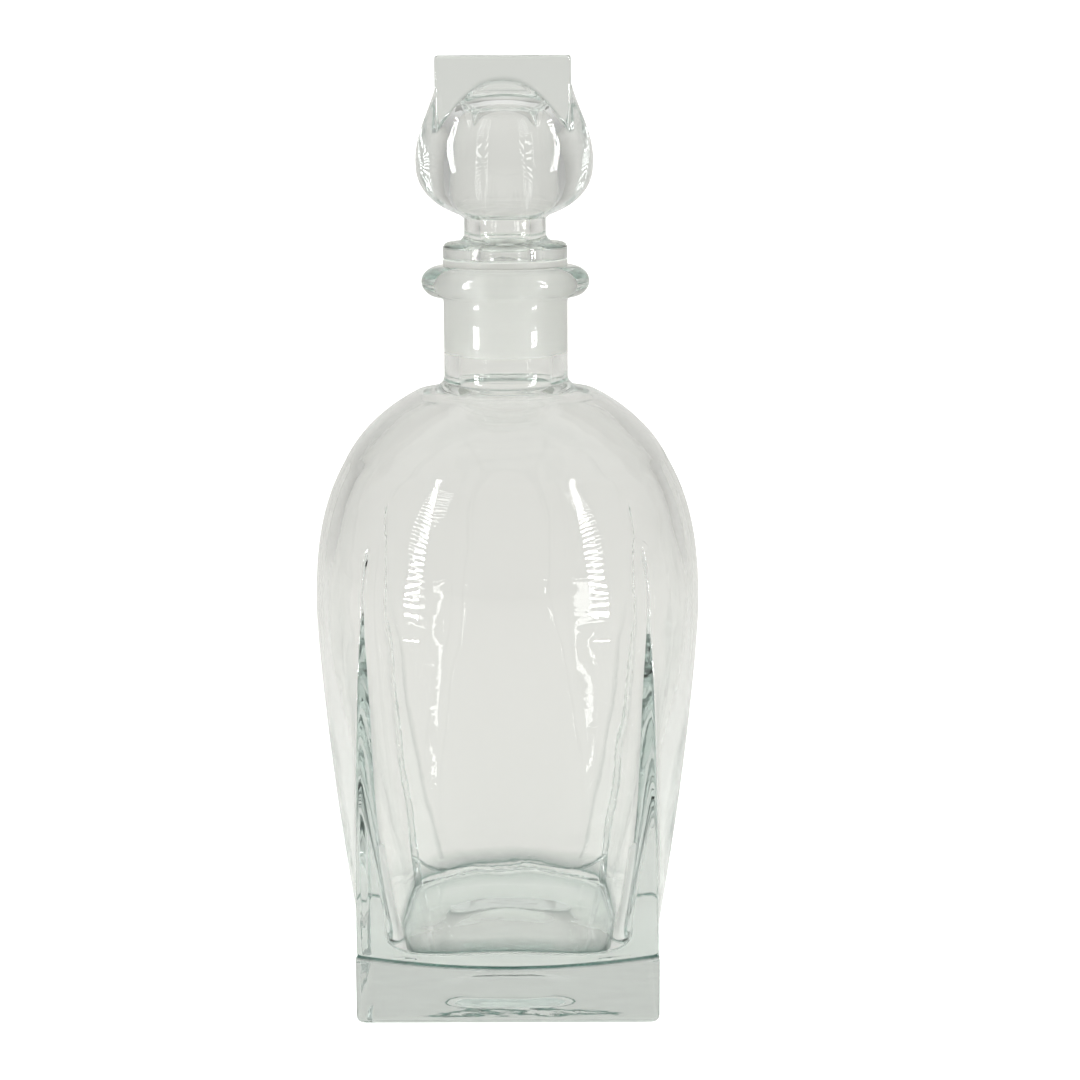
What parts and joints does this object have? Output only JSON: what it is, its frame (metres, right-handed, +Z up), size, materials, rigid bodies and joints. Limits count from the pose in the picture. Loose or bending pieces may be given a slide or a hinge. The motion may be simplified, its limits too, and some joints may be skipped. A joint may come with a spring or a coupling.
{
  "type": "decanter",
  "caption": "Square-footed glass decanter: hollow body that swells from a square foot into a round belly, neck with rolled lip, and hollow glass stopper in a plastic seal that lifts out.",
  "frame": {"origin": "centre of the square foot, on the surface it stands on", "axes": "+Z up along the bottle's axis; X and Y square to the foot's flat faces"},
  "size_m": [0.1082, 0.1082, 0.26],
  "materials": {
    "bottle_glass": "clear pale green soda-lime glass, moulded and fire-polished",
    "stopper_glass": "clear pale green soda-lime glass, moulded with a faint seam",
    "seal_plastic": "translucent whitish polyethylene"
  },
  "bodies": {
    "bottle": {"bottle": "bottle_glass"},
    "seal": {"stopper_seal": "seal_plastic"},
    "stopper": {"stopper": "stopper_glass"}
  },
  "joints": [
    {"name": "stopper_lift", "type": "slide", "parent": "bottle", "child": "seal", "axis": [0, 0, 1], "range_m": [0, 0.06]},
    {"name": "stopper_twist", "type": "hinge", "parent": "seal", "child": "stopper", "pos_m": [0, 0, 0.2], "axis": [0, 0, 1], "continuous": true}
  ]
}
